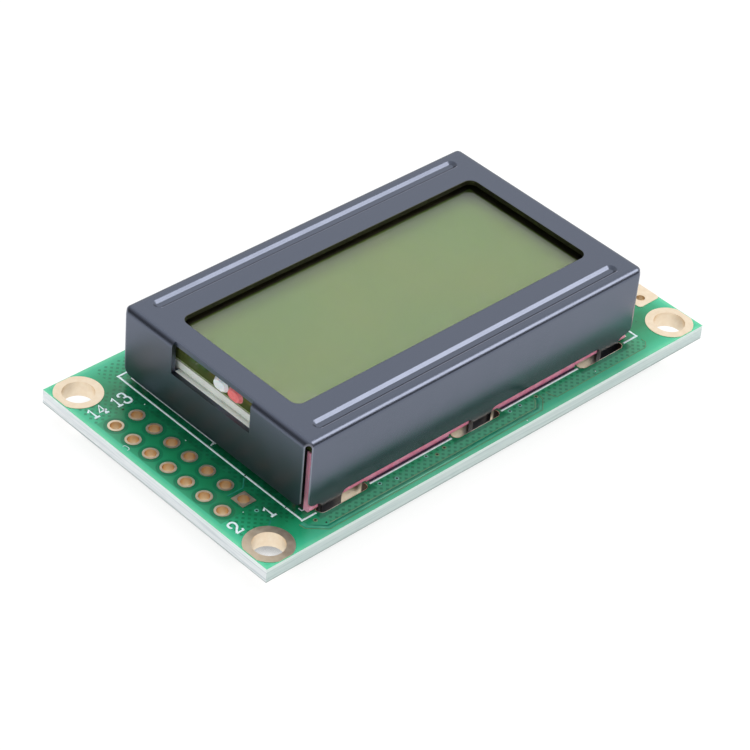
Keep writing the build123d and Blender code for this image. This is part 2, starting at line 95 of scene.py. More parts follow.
class Finish:
    """One material and short ways to add nodes to it."""

    def __init__(self, name, **numbers):
        self.material = bpy.data.materials.new(name)
        self.material.use_nodes = True
        self.tree = self.material.node_tree
        self.shader = self.tree.nodes["Principled BSDF"]
        for socket, value in numbers.items():
            self.put(self.shader, socket.replace("_", " "), value)
        self.place = self.add("ShaderNodeTexCoord").outputs["Object"]

    def put(self, node, socket, value):
        """Give a socket a value, or link it to another node's output."""
        if isinstance(value, bpy.types.NodeSocket):
            self.tree.links.new(value, node.inputs[socket])
        else:
            node.inputs[socket].default_value = value

    def add(self, kind, settings={}, **inputs):
        """Add a node, with its settings and the values or links of its inputs."""
        node = self.tree.nodes.new(kind)
        for key, value in settings.items():
            setattr(node, key, value)
        for socket, value in inputs.items():
            self.put(node, int(socket[1:]) if socket[0] == "i" and socket[1:].isdigit() else socket, value)
        return node

    def sum(self, operation, first, second=0.0, third=0.0):
        """One step of arithmetic."""
        return self.add("ShaderNodeMath", {"operation": operation}, i0=first, i1=second, i2=third).outputs[0]

    def noise(self, size_mm, detail=2.0, stretch=(1, 1, 1)):
        """Cloudy noise whose spots are about size_mm wide, drawn out along the axes by stretch."""
        scaled = self.add("ShaderNodeMapping", i3=stretch, i0=self.place).outputs[0]
        found = self.add("ShaderNodeTexNoise", Vector=scaled, Scale=1 / (size_mm * MM), Detail=detail)
        return found.outputs["Fac"]

    def ramp(self, value, *stops):
        """Turn a value into a colour, through stops of (position, colour)."""
        node = self.add("ShaderNodeValToRGB", i0=value)
        while len(node.color_ramp.elements) < len(stops):
            node.color_ramp.elements.new(0.5)
        for element, (position, colour) in zip(node.color_ramp.elements, stops):
            element.position, element.color = position, colour
        return node.outputs[0]

    def step(self, value, low, high, bottom=0.0, top=1.0):
        """Rise smoothly from bottom to top while value goes from low to high."""
        settings = {"interpolation_type": "SMOOTHSTEP"}
        node = self.add("ShaderNodeMapRange", settings, i0=value, i1=low, i2=high, i3=bottom, i4=top)
        return node.outputs[0]

    def colour(self, pattern, *stops):
        """Colour the whole surface by a ramp over a pattern."""
        self.put(self.shader, "Base Color", self.ramp(pattern, *stops))

    def blend(self, share, first, second):
        """Mix two colours."""
        node = self.add("ShaderNodeMix", {"data_type": "RGBA"})
        for socket, value in ((0, share), (6, first), (7, second)):
            self.put(node, socket, value)
        return node.outputs[2]

    def axis(self, name):
        """One coordinate of the place on the piece, in millimetres."""
        split = self.add("ShaderNodeSeparateXYZ", i0=self.place)
        return self.sum("MULTIPLY", split.outputs[name], 1 / MM)

    def facing_up(self):
        """How far the surface looks up or down: 1 on flat faces, 0 on upright walls."""
        normal = self.add("ShaderNodeNewGeometry").outputs["True Normal"]
        split = self.add("ShaderNodeSeparateXYZ", i0=normal)
        return self.sum("ABSOLUTE", split.outputs["Z"])

    def bump(self, height, depth_mm):
        """Raise the surface by depth_mm where height is 1."""
        node = self.add("ShaderNodeBump", Height=height, Distance=depth_mm * MM, Strength=1.0)
        self.put(self.shader, "Normal", node.outputs[0])

    def wear(self, *nodes):
        """Put the material on CAD nodes, by name."""
        for name in nodes:
            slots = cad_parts[name].material_slots
            if not slots:
                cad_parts[name].data.materials.append(self.material)
            for slot in slots:
                slot.material = self.material
        return self.material


# %% [markdown]
# ## Masks by place
#
# A circuit board is printed in zones: bare margins, hatched copper, clearances round the holes. In a
# material each zone is a mask, a value of 1 inside and 0 outside. The next class adds such masks to the
# helper: a rectangle, the distance to an even grid or to a point, and a diamond mesh.

# %% A helper with masks
class ZonedFinish(Finish):
    """A material whose colours depend on the place on the piece, in millimetres."""

    def __init__(self, name, **numbers):
        super().__init__(name, **numbers)
        self.x, self.y, self.z = self.axis("X"), self.axis("Y"), self.axis("Z")

    def between(self, value, low, high, soft=0.04):
        """1 where a value is between low and high."""
        off_middle = self.sum("ABSOLUTE", self.sum("SUBTRACT", value, (low + high) / 2))
        half = (high - low) / 2
        return self.step(off_middle, half - soft, half + soft, 1.0, 0.0)

    def patch(self, x_low, x_high, y_low, y_high, soft=0.06, y=None):
        """1 inside a rectangle."""
        across = self.between(y if y is not None else self.y, y_low, y_high, soft)
        return self.sum("MULTIPLY", self.between(self.x, x_low, x_high, soft), across)

    def off_grid(self, value, first, pitch):
        """The distance to the nearest line of an even grid that has a line at first."""
        turns = self.sum("ADD", self.sum("DIVIDE", self.sum("SUBTRACT", value, first), pitch), 0.5)
        off = self.sum("ABSOLUTE", self.sum("SUBTRACT", self.sum("FRACT", turns), 0.5))
        return self.sum("MULTIPLY", off, pitch)

    def distance(self, first, second):
        """The distance to a point that is first away along one axis and second along another."""
        squares = [self.sum("POWER", value, 2.0) for value in (first, second)]
        return self.sum("SQRT", self.sum("ADD", *squares))

    def mesh_holes(self, pitch, share):
        """1 in the small diamond openings of a mesh whose lines run at 45 degrees."""
        diagonals = (self.sum("ADD", self.x, self.y), self.sum("SUBTRACT", self.x, self.y))
        turned = [self.sum("MULTIPLY", value, math.sqrt(0.5)) for value in diagonals]
        farther = self.sum("MAXIMUM", *[self.off_grid(value, 0.0, pitch) for value in turned])
        half, soft = pitch * share / 2, 0.04
        return self.step(farther, half - soft, half + soft, 1.0, 0.0)

    def any_of(self, *masks):
        """1 where any of the masks is."""
        found = masks[0]
        for mask in masks[1:]:
            found = self.sum("MAXIMUM", found, mask)
        return found

    def all_of(self, *masks):
        """1 where all of the masks are."""
        found = masks[0]
        for mask in masks[1:]:
            found = self.sum("MULTIPLY", found, mask)
        return found


# %% [markdown]
# ## Black paint on the bezel
#
# The bezel is a steel sheet with a satin black paint. Nearly all of its colour is reflection: a cool
# slate grey where it mirrors the pale room, and near black where it mirrors the board or the dark side
# of the room. So the base is almost black, the reflection is strong and faintly blue, and a slow noise
# makes the gloss uneven. A thin pale rim, a painted highlight of the sheared edges of the open corners,
# follows each slit up to its round end. The rim is found by the distance to the plane that halves the
# corner. A painted highlight at the foot of each bead and the bare cut edge of the window, whose olive
# tone is a painted reflection of the cell, are found by their place too.

# %% Black base
_, bezel_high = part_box("bezel")
wall_x, bezel_top = bezel_high.x / MM, bezel_high.z / MM
wall_y = 13.0
paint = ZonedFinish("black_paint", IOR=2.45, Specular_Tint=(0.64, 0.74, 1.0, 1.0))
cloud = paint.noise(2.5, 3)
black = paint.ramp(cloud, (0.3, linear(11, 11, 13)), (0.7, linear(15, 15, 18)))
print("bezel half size in mm:", round(wall_x, 2), round(wall_y, 2), "top", round(bezel_top, 2))

# %% Painted highlight along the edges of the open corners
slit_half, slit_end = 0.31, bezel_top - 0.3
rim_inside, rim_outside, corner_reach = 0.1, 0.13, 1.3
along_x = paint.sum("SUBTRACT", paint.sum("ABSOLUTE", paint.x), wall_x)
along_y = paint.sum("SUBTRACT", paint.sum("ABSOLUTE", paint.y), wall_y)
off_corner = paint.sum("MULTIPLY", paint.sum("SUBTRACT", along_x, along_y), math.sqrt(0.5))
above_end = paint.sum("MAXIMUM", paint.sum("SUBTRACT", paint.z, slit_end - slit_half), 0.0)
off_slit = paint.distance(off_corner, above_end)
on_walls = paint.sum("SUBTRACT", 1.0, paint.step(paint.facing_up(), 0.8, 0.95))
near_corner = [paint.step(along, -corner_reach, -corner_reach + 0.3) for along in (along_x, along_y)]
corner_highlight = paint.between(off_slit, slit_half - rim_inside, slit_half + rim_outside, 0.05)
# The pale rim along each slit is a painted highlight, where the rounded sheet edges catch the light.
black = paint.blend(paint.all_of(corner_highlight, *near_corner, on_walls), black, linear(112, 112, 118))

# %% Painted highlights at the feet of the beads
bead_half_length = 19.4
foot_lines = ((-11.83, -11.73), (10.47, 10.57))
bead_foot_highlight = paint.any_of(*[paint.between(paint.y, low, high, 0.03) for low, high in foot_lines])
bead_foot_highlight = paint.all_of(
    bead_foot_highlight,
    paint.between(paint.x, -bead_half_length, bead_half_length),
    paint.step(paint.z, bezel_top - 0.3, bezel_top - 0.25),
)
# The pale tone at the foot of each bead is a painted highlight of the lit lip.
black = paint.blend(paint.sum("MULTIPLY", bead_foot_highlight, 0.8), black, linear(112, 112, 124))

# %% The cut edge of the window, with a painted reflection of the cell, and the gloss
window_x, window_y, window_corner = 19.0, 8.1, 0.9
past_straight = [
    paint.sum("MAXIMUM", paint.sum("SUBTRACT", paint.sum("ABSOLUTE", place), half - window_corner), 0.0)
    for place, half in ((paint.x, window_x), (paint.y, window_y))
]
window_edge = paint.all_of(
    paint.step(paint.distance(*past_straight), window_corner + 0.02, window_corner + 0.1, 1.0, 0.0),
    paint.step(paint.z, bezel_top - 0.6, bezel_top - 0.55),
)
# The cut edge is bare metal; its olive tone is a painted reflection of the green cell below.
paint.put(paint.shader, "Base Color", paint.blend(window_edge, black, linear(70, 70, 50)))
paint.put(paint.shader, "Metallic", window_edge)
left_wall = paint.step(paint.x, -wall_x + 0.3, -wall_x + 0.6, 0.13, 0.0)
uneven = paint.sum("ADD", paint.step(cloud, 0.3, 0.7, 0.23, 0.27), left_wall)
paint.put(paint.shader, "Roughness", paint.sum("MAXIMUM", uneven, paint.sum("MULTIPLY", window_edge, 0.6)))
paint.bump(paint.noise(3.0, 1), 0.0012)
paint.wear("bezel")

# %% [markdown]
# ## The green board
#
# The board is pale glass-fibre laminate under a green lacquer. Along its edges the copper stops short
# and the green is lighter; a painted glow, as of light that gets into the laminate, brightens it more,
# and painted shade makes it deep further in. So the first colour comes from the distance to the nearest
# edge. The cut edges show the bare laminate: near white, with fine lines where the woven layers end.
# The long cut edges are darker, as painted shade, and each cut edge is lighter near its top and darker
# along its lower edge.

# %% The lacquer's green, with painted glow and shade, and the cut edges
board_low, board_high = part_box("circuit_board")
half_length = (board_high.x - board_low.x) / 2 / MM
half_width = (board_high.y - board_low.y) / 2 / MM
board_bottom, board_top = board_low.z / MM, board_high.z / MM

lacquer = ZonedFinish("board_lacquer", IOR=1.5)
to_side = lacquer.sum("SUBTRACT", half_length, lacquer.sum("ABSOLUTE", lacquer.x))
to_front = lacquer.sum("SUBTRACT", half_width, lacquer.sum("ABSOLUTE", lacquer.y))
to_edge = lacquer.sum("MINIMUM", to_side, to_front)
# The ramp paints a glow of light near the edges and shade further in, over the lighter copper-free margin.
green = lacquer.ramp(
    lacquer.sum("DIVIDE", to_edge, 8.0),
    (0.0, linear(104, 208, 164)),
    (0.07, linear(62, 186, 144)),
    (0.2, linear(36, 158, 114)),
    (0.45, linear(20, 124, 80)),
    (0.75, linear(10, 98, 62)),
)
mottle = lacquer.noise(1.6, 3)
green = lacquer.blend(lacquer.step(mottle, 0.35, 0.7, 0.0, 0.22), green, linear(44, 168, 122))

threads = lacquer.noise(0.6, 4, (0.1, 0.1, 3.0))
laminate = lacquer.ramp(
    threads, (0.3, linear(202, 212, 216)), (0.5, linear(230, 237, 240)), (0.72, linear(245, 248, 250))
)
# The long cut faces are darkened: painted shade on the front and back edges of the board.
long_cut_shade = lacquer.step(to_front, 0.0, 0.02, 0.55, 0.0)
laminate = lacquer.blend(long_cut_shade, laminate, linear(172, 200, 194))
height = lacquer.sum("SUBTRACT", lacquer.z, board_bottom)
# Darker along the lower edge and lighter near the top of each cut face.
laminate = lacquer.blend(lacquer.step(height, 0.1, 0.16, 0.55, 0.0), laminate, linear(112, 132, 126))
laminate = lacquer.blend(lacquer.step(height, 1.15, 1.3, 0.0, 0.5), laminate, linear(236, 250, 246))
print("board half size in mm:", round(half_length, 2), round(half_width, 2))

# %% [markdown]
# ## Copper under the lacquer
#
# Where a hatched copper plane lies under the lacquer, the green is lighter and its small openings show
# as dark dots in a diamond pattern. Each pad and slot has a clearance round it, where the bare laminate
# makes a dark ring. A narrow dark strip of painted shade, where the bezel's wall shades the board, lies
# between the rubber's foot and the white print. All of them are masks, laid over the green one after
# another.

# %% Hatched copper
hatch_pitch, open_share = 0.56, 0.5
openings = lacquer.mesh_holes(hatch_pitch, open_share)
row_y = lacquer.sum("ABSOLUTE", lacquer.y)
front_band = lacquer.patch(-20.2, 22.2, 13.2, 14.85, y=row_y)
green = lacquer.blend(lacquer.sum("MULTIPLY", front_band, 0.75), green, linear(60, 158, 116))
hatched_zones = (
    (-23.4, -19.8, -12.4, 15.2),
    (-28.3, -23.4, 8.9, 12.0),
    (-28.0, -23.4, -11.4, -8.9),
    (22.4, 24.2, -11.5, 4.0),
)
hatched = lacquer.any_of(front_band, *[lacquer.patch(*zone) for zone in hatched_zones])
green = lacquer.blend(lacquer.all_of(hatched, openings, 0.56), green, linear(12, 84, 54))

# %% Clearances round the header's pads
header_zone = (-28.24, -23.16, -8.9, 8.9)
pin_x, pin_pitch, clearance = -26.97, 2.54, 1.14
off_pin = lacquer.distance(
    lacquer.off_grid(lacquer.x, pin_x, pin_pitch), lacquer.off_grid(lacquer.y, 0.0, pin_pitch)
)
header = lacquer.patch(*header_zone)
green = lacquer.blend(lacquer.sum("MULTIPLY", header, 0.55), green, linear(16, 118, 74))
pin_ring = lacquer.all_of(header, lacquer.step(off_pin, clearance, clearance + 0.06, 1.0, 0.0))
green = lacquer.blend(lacquer.sum("MULTIPLY", pin_ring, 0.6), green, linear(10, 96, 66))

# %% Clearances round the slots, and painted shade in the gaps between them
slot_middles, ring_reach = (-17.2, 0.0, 17.2), 3.5
gap_middles, gap_reach = (-8.6, 8.6), 5.1
slot_rings = [
    lacquer.patch(x - ring_reach, x + ring_reach, 11.8, 13.95, 0.1, row_y) for x in slot_middles
]
green = lacquer.blend(
    lacquer.sum("MULTIPLY", lacquer.any_of(*slot_rings), 0.8), green, linear(24, 112, 78)
)
gap_shade = [lacquer.patch(x - gap_reach, x + gap_reach, 12.1, 12.98, 0.03, row_y) for x in gap_middles]
# The dark navy strip is painted shade under the bezel's wall, between the rubber's foot and the print.
green = lacquer.blend(lacquer.any_of(*gap_shade), green, linear(34, 38, 58))

flat = lacquer.step(lacquer.facing_up(), 0.4, 0.6)
lacquer.put(lacquer.shader, "Base Color", lacquer.blend(flat, laminate, green))
lacquer.put(lacquer.shader, "Roughness", lacquer.step(flat, 0.0, 1.0, 0.55, 0.2))
lacquer.bump(lacquer.noise(0.35, 2), 0.002)
lacquer.wear("circuit_board")

# %% [markdown]
# ## Gold-plated copper
#
# The pads and hole walls are copper with a thin layer of gold, pale and mirror-like. What makes it
# read as metal is what it mirrors: cream where it sees the room, brown where it sees the bezel. So the
# rings stay smooth and only slightly rough. The walls of the holes carry fine lines that run round
# them, left by the drill, so the bump is kept to the upright faces. The walls of the header's holes
# are a little browner, as painted shade inside them. Some ends of the front slots are dark, and a dark
# tone is laid on their upright faces there: painted shade, where the tabs and the slots' ends shade
# the plating.

# %% Pads and hole walls
gold = ZonedFinish("gold_plating", Metallic=1.0)
soft = gold.noise(0.6, 2)
pale_gold = gold.ramp(soft, (0.3, linear(242, 222, 194)), (0.7, linear(250, 234, 210)))
gold.put(gold.shader, "Roughness", gold.step(soft, 0.3, 0.7, 0.34, 0.4))
drill_lines = gold.noise(0.35, 3, (0.2, 0.2, 6.0))
upright = gold.step(gold.facing_up(), 0.3, 0.6, 1.0, 0.0)
# The header's hole walls get a browner gold: painted shade inside the small holes.
small_hole = gold.all_of(upright, gold.patch(*header_zone))
gold_with_hole_shade = gold.blend(small_hole, pale_gold, linear(242, 214, 176))

# %% Painted shade at the ends of the front slots
front_slot_y = -12.6
dark_ends = ((-15.25, -14.1), (1.9, 3.1), (15.05, 20.3))
front_slots = gold.all_of(upright, gold.step(gold.y, front_slot_y, front_slot_y + 0.1, 1.0, 0.0))
shaded = gold.any_of(*[gold.between(gold.x, low, high) for low, high in dark_ends])
shaded = gold.all_of(front_slots, shaded, 0.9)
# The dark tone on the upright faces at these ends is painted shade, cast by the tabs and the slots' ends.
gold.put(gold.shader, "Base Color", gold.blend(shaded, gold_with_hole_shade, linear(46, 38, 36)))
gold.bump(gold.sum("MULTIPLY", drill_lines, upright), 0.008)
gold.wear(
    "mounting_hole_plating", "header_pad_plating", "slot_plating", "lamp_pad_plating", "lead_pad_plating"
)

# %% [markdown]
# ## The liquid crystal cell
#
# The display is a stack: a grey polarising film, two sheets of glass and a green half-mirror film
# below. The depth matters, because near the window's edges the eye looks under the steel and sees the
# lower film in shade. So the upper film is a thin veil: an eighth of it is a grey mirror, by its alpha,
# and the rest lets the green through. The glass is clear on its flat faces, and its upright ends show
# as dark olive, as glass does when it is seen from the end. Real glass bends the light, so what lies
# under it looks nearer than it is. Clear faces with alpha do not bend it, so the green is laid on the
# upper face of the lower glass, which is just as deep as the eye finds it. Beyond the window the green
# is darkened, as painted shade under the steel.

# %% Films and glass
veil = Finish("grey_film", Metallic=1.0, Roughness=0.06)
veil.colour(veil.noise(14.0, 2), (0.35, linear(228, 228, 232)), (0.65, linear(234, 232, 232)))
up = veil.add("ShaderNodeNewGeometry").outputs["True Normal"]
up = veil.add("ShaderNodeSeparateXYZ", i0=up).outputs["Z"]
veil.put(veil.shader, "Alpha", veil.step(up, 0.4, 0.6, 0.0, 0.13))
veil.wear("front_polariser")

glass = Finish("window_glass", IOR=1.5, Roughness=0.05)
glass.colour(glass.noise(3.0, 2), (0.3, linear(62, 72, 36)), (0.7, linear(82, 92, 48)))
glass.put(glass.shader, "Alpha", glass.step(glass.facing_up(), 0.4, 0.6, 0.97, 0.0))
glass.wear("front_glass")

green_film = Finish("green_film", Roughness=0.6, Specular_IOR_Level=0.1)
green_film.colour(green_film.noise(11.0, 2), (0.35, linear(160, 204, 92)), (0.65, linear(169, 202, 90)))
green_film.wear("rear_polariser")

# %% The green layer on the lower glass
past_window = 0.5
layer_x, layer_y = window_x + past_window, window_y + past_window
layer = ZonedFinish("liquid_crystal_layer", IOR=1.5, Specular_IOR_Level=0.1)
green_layer = layer.ramp(layer.noise(11.0, 2), (0.35, linear(93, 121, 51)), (0.65, linear(98, 120, 50)))
in_window = layer.patch(-layer_x, layer_x, -layer_y, layer_y, 0.12)
# Beyond the window the green turns dark olive: painted shade under the bezel.
green_layer = layer.blend(in_window, linear(44, 42, 26), green_layer)
upper_face = layer.step(layer.facing_up(), 0.4, 0.6)
layer.put(layer.shader, "Base Color", layer.blend(upper_face, linear(70, 80, 42), green_layer))
layer.put(layer.shader, "Roughness", layer.step(upper_face, 0.0, 1.0, 0.05, 0.6))
layer.wear("rear_glass")

# %% [markdown]
# ## Rubber, adhesive and the light box
#
# The contact strips are pink silicone with a black core, the filling hole of the cell is closed with
# a clear and a red drop, and the light box is a white moulding. All of them are soft to the light: a
# little subsurface scattering lets it in, and a faint noise keeps them from looking like paper.

# %% Soft materials
def soft_finish(name, dark, pale, roughness, scatter=0.0, grain_mm=0.8, depth_mm=0.004, **numbers):
    """A moulded or cured material: two shades in a fine noise, with a shallow bump."""
    made = Finish(name, Roughness=roughness, Subsurface_Weight=scatter, Subsurface_Scale=0.0008, **numbers)
    spots = made.noise(grain_mm, 3)
    made.colour(spots, (0.3, linear(*dark)), (0.7, linear(*pale)))
    made.bump(spots, depth_mm)
    return made


soft_finish("black_silicone", (26, 26, 28), (38, 38, 40), 0.6).wear("front_contact_core", "rear_contact_core")
soft_finish("clear_drop", (240, 243, 250), (250, 252, 255), 0.15, 0.2, 0.5, 0.01).wear("clear_end_seal")
soft_finish("red_drop", (244, 112, 116), (252, 146, 150), 0.2, 0.2, 0.5, 0.01).wear("dyed_end_seal")
soft_finish("light_box_white", (222, 228, 220), (236, 240, 234), 0.5, 0.1, 1.5).wear("reflector")
soft_finish("frosted_sheet", (214, 216, 210), (228, 230, 226), 0.6, 0.0, 0.3).wear("diffuser")
soft_finish("lamp_laminate", (196, 190, 164), (214, 208, 184), 0.5, 0.0, 0.4).wear("lamp_board")

# %% Pink silicone, with painted light at the ends of the strips
pink = soft_finish("pink_silicone", (238, 130, 162), (252, 166, 190), 0.4, 0.25)
shades = pink.shader.inputs["Base Color"].links[0].from_socket
pale_from, pale_to = 20.5, 20.9
strip_end_light = pink.step(pink.sum("ABSOLUTE", pink.axis("X")), pale_from, pale_to)
# The paler pink near the strips' ends is painted light on the rubber seen in the corner slits.
pink.put(pink.shader, "Base Color", pink.blend(strip_end_light, shades, linear(252, 172, 196)))
pink_silicone = pink.wear("front_contact_rubber", "rear_contact_rubber")

# %% [markdown]
# ## The underside
#
# Under the board sit the controller, sealed in a drop of black resin, a row of chip resistors, two
# capacitors and the lamp's two soldered leads. Resin is glossy with a slow waviness, the ceramic
# bodies are dull, and tin and solder are pale soft metals.

# %% Parts under the board
soft_finish("dark_resin", (14, 14, 15), (24, 24, 26), 0.18, 0.0, 3.0, 0.03).wear("controller_resin")
soft_finish("resistor_glaze", (24, 24, 26), (40, 40, 42), 0.35, 0.0, 0.3).wear("chip_resistors")
soft_finish("capacitor_ceramic", (150, 112, 76), (176, 136, 96), 0.5, 0.0, 0.3).wear("chip_capacitors")
soft_finish("yellow_chip", (214, 206, 90), (232, 226, 120), 0.3, 0.0, 0.2).wear("light_chips")
soft_finish("tinned_ends", (206, 206, 206), (226, 226, 228), 0.3, 0.0, 0.2, 0.003, Metallic=1.0).wear(
    "lamp_leads", "resistor_end_caps", "capacitor_end_caps"
)
soft_finish("bright_solder", (196, 198, 202), (220, 222, 226), 0.22, 0.0, 0.4, 0.004, Metallic=1.0).wear(
    "lead_solder", "resistor_solder", "capacitor_solder"
)

# %% [markdown]
# ## A node tree for printed lines
#
# The print, the tracks and the digits are all lines of one width that follow a path. A line of real
# ink is a very thin solid, so each path is made a curve and a flat rectangle is swept along it. One
# tree does it for all of them, and its width, thickness and material are inputs. The result is baked
# to a plain mesh, so that nothing depends on the modifier afterwards.

# %% Helpers for node trees
def new_tree(name, *sockets):
    """An empty geometry node group with a geometry input and output, and further named inputs."""
    tree = bpy.data.node_groups.new(name, "GeometryNodeTree")
    tree.interface.new_socket("Geometry", in_out="INPUT", socket_type="NodeSocketGeometry")
    for socket, kind in sockets:
        tree.interface.new_socket(socket, in_out="INPUT", socket_type=kind)
    tree.interface.new_socket("Geometry", in_out="OUTPUT", socket_type="NodeSocketGeometry")
    return tree, tree.nodes.new("NodeGroupInput"), tree.nodes.new("NodeGroupOutput")


def add_nodes(tree, prefix, *kinds):
    """Add nodes of several kinds, whose full names start with one prefix, and return them."""
    return [tree.nodes.new(prefix + kind) for kind in kinds]


def chain(tree, *steps):
    """Link nodes one after another: each step is a node and the name or number of its input."""
    for (previous, _), (node, socket) in zip(steps, steps[1:]):
        tree.links.new(previous.outputs[0], node.inputs[socket])


def link(tree, *wires):
    """Link sockets: each wire is a node, its output, the next node and its input."""
    for source, output, target, socket in wires:
        tree.links.new(source.outputs[output], target.inputs[socket])


# %% Sweep a flat line along paths
line_tree, given, result = new_tree(
    "printed_line",
    ("Width", "NodeSocketFloat"), ("Thickness", "NodeSocketFloat"), ("Ink", "NodeSocketMaterial"),
)
to_curve, level, sweep, section, realize, ink_node = add_nodes(
    line_tree, "GeometryNode",
    "MeshToCurve", "SetCurveNormal", "CurveToMesh", "CurvePrimitiveQuadrilateral",
    "RealizeInstances", "SetMaterial",
)
level.mode = "Z_UP"
sweep.inputs["Fill Caps"].default_value = True
chain(
    line_tree,
    (given, 0), (to_curve, "Mesh"), (level, 0), (sweep, "Curve"), (realize, 0), (ink_node, 0), (result, 0),
)
link(
    line_tree,
    (given, "Width", section, "Width"),
    (given, "Thickness", section, "Height"),
    (section, 0, sweep, "Profile Curve"),
    (given, "Ink", ink_node, "Material"),
)


# %% Bake a tree into a plain piece
def grown(name, tree, points, edges, slot, **inputs):
    """Run a tree on points and edges in millimetres, and keep the result as a plain mesh."""
    seed_mesh = bpy.data.meshes.new(name)
    seed_mesh.from_pydata([Vector(point) * MM for point in points], edges, [])
    piece = bpy.data.objects.new(name, seed_mesh)
    bpy.context.scene.collection.objects.link(piece)
    modifier = piece.modifiers.new("tree", "NODES")
    modifier.node_group = tree
    for item in tree.interface.items_tree:
        if item.in_out == "INPUT" and item.name in inputs:
            modifier[item.identifier] = inputs[item.name]
    bpy.context.view_layer.update()
    plain = bpy.data.meshes.new_from_object(piece.evaluated_get(bpy.context.evaluated_depsgraph_get()))
    piece.modifiers.clear()
    piece.data = plain
    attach(piece, "root")
    print(name, "faces:", len(plain.polygons), "size in mm:", in_mm(piece.dimensions))


layer_step = 0.0012


def printed(name, paths, width, thickness, ink, base=board_top, slot="board_laminate"):
    """Print flat lines along paths of (x, y) points, all in millimetres, on a surface at height base.

    Each path lies layer_step higher than the one before, so that no two upper faces share a plane.
    """
    points, edges = [], []
    for layer_number, path in enumerate(paths):
        for number, (x, y) in enumerate(path):
            if number:
                edges.append((len(points) - 1, len(points)))
            points.append((x, y, base + thickness / 2 + layer_number * layer_step))
    grown(name, line_tree, points, edges, slot, Width=width * MM, Thickness=thickness * MM, Ink=ink)


# %% [markdown]
# ## White print on the board
#
# A frame is printed round the bezel's foot, broken where the slots for its tabs are. The header has
# the numbers of its first and last pins, drawn as bold strokes with small serifs, and there is a tick
# beside the bezel. Printed ink is a dull white, a little thin in places.

# %% The ink and the frame
ink_finish = Finish("white_ink", Roughness=0.5)
ink_finish.colour(ink_finish.noise(0.3, 2), (0.3, linear(204, 234, 238)), (0.6, linear(236, 250, 255)))
white_ink, ink_height = ink_finish.material, 0.02
frame_lines = [
    [(-22.15, -13.0), (-22.15, 13.2)],
    [(-22.29, 13.2), (-20.45, 13.2)],
    [(-13.85, 13.2), (-3.3, 13.2)],
    [(3.3, 13.2), (13.9, 13.2)],
    [(20.5, 13.2), (22.5, 13.2)],
    [(22.36, 13.3), (22.36, -13.1)],
    [(-22.29, -13.06), (-20.45, -13.06)],
    [(-13.85, -13.1), (-3.3, -13.1)],
    [(3.3, -13.1), (13.9, -13.1)],
    [(20.5, -13.1), (22.5, -13.1)],
]
printed("printed_frame", frame_lines, width=0.2, thickness=ink_height, ink=white_ink)

# %% The thin inner line and the tick
inner_lines = [
    [(-21.3, 12.3), (-21.3, -0.1)],
    [(-21.3, -11.6), (-21.3, -12.05), (-20.9, -12.05)],
    [(20.9, -12.45), (21.5, -12.45), (21.5, -11.9)],
]
printed("printed_inner_line", inner_lines, width=0.13, thickness=ink_height, ink=white_ink)
tick = [[(-21.85, -0.02), (-21.35, 0.2)], [(-21.6, 0.04), (-21.3, 0.04)]]
printed("printed_tick", tick, width=0.14, thickness=ink_height, ink=white_ink)


# %% Strokes of the digits
def rounded(*points, steps=3):
    """A smoother path through corner-cut points, for the bowls of digits."""
    path = list(points)
    for _ in range(steps):
        cut = [path[0]]
        for (x1, y1), (x2, y2) in zip(path, path[1:]):
            cut += [(x1 * (1 - share) + x2 * share, y1 * (1 - share) + y2 * share) for share in (0.25, 0.75)]
        path = cut + [path[-1]]
    return path


digit_strokes = {
    "1": [[(0.1, 0.76), (0.35, 0.98), (0.35, 0.0)], [(0.1, 0.02), (0.62, 0.02)]],
    "2": [
        rounded((0.04, 0.64), (0.02, 1.06), (0.64, 1.12), (0.68, 0.6), (0.3, 0.34), (0.06, 0.06)),
        [(0.04, 0.04), (0.7, 0.04), (0.72, 0.2)],
        [(0.04, 0.64), (0.16, 0.7)],
    ],
    "3": [
        rounded((0.06, 0.8), (0.1, 1.06), (0.62, 1.08), (0.62, 0.54), (0.28, 0.54)),
        rounded((0.28, 0.54), (0.74, 0.54), (0.7, -0.08), (0.12, -0.08), (0.03, 0.2)),
        [(0.06, 0.8), (0.16, 0.84)],
        [(0.03, 0.2), (0.14, 0.18)],
    ],
    "4": [[(0.52, 0.0), (0.52, 1.0), (0.04, 0.32), (0.74, 0.32)], [(0.34, 0.02), (0.7, 0.02)]],
}

# %% The pin numbers and the arc
digit_height, digit_width, digit_pitch = 1.36, 0.88, 0.72


def digits(text, x, y):
    """The strokes of a number whose lower left corner is at (x, y)."""
    return [
        [
            (x + (u * digit_width + number * digit_pitch) * digit_height, y + v * digit_height)
            for u, v in stroke
        ]
        for number, digit in enumerate(text)
        for stroke in digit_strokes[digit]
    ]


number_places = (("14", -27.95, 9.62), ("13", -25.15, 9.62), ("1", -24.15, -10.98), ("2", -28.0, -10.8))
number_paths = [stroke for place in number_places for stroke in digits(*place)]
printed("printed_numbers", number_paths, width=0.22, thickness=ink_height, ink=white_ink)
arc = [rounded((-28.35, 4.2), (-28.1, 4.2), (-28.0, 4.55), (-28.1, 4.9), (-28.35, 4.9))]
printed("printed_arc", arc, width=0.06, thickness=ink_height, ink=white_ink)

# %% [markdown]
# ## The foot of the rubber
#
# The bezel squeezes the contact strips, so their feet spread on the board into a low ledge beside the
# white print. The ledge is one more flat line, swept with the same tree, in the pink silicone.

# %% Ledges of pink rubber
foot_height, foot_y = 0.34, 12.58
foot_runs = ((-13.9, -3.3), (3.3, 13.9))
ledges = [[(x1, side * foot_y), (x2, side * foot_y)] for side in (-1, 1) for x1, x2 in foot_runs]
printed("rubber_feet", ledges, width=0.28, thickness=foot_height, ink=pink_silicone, slot="pink_rubber")

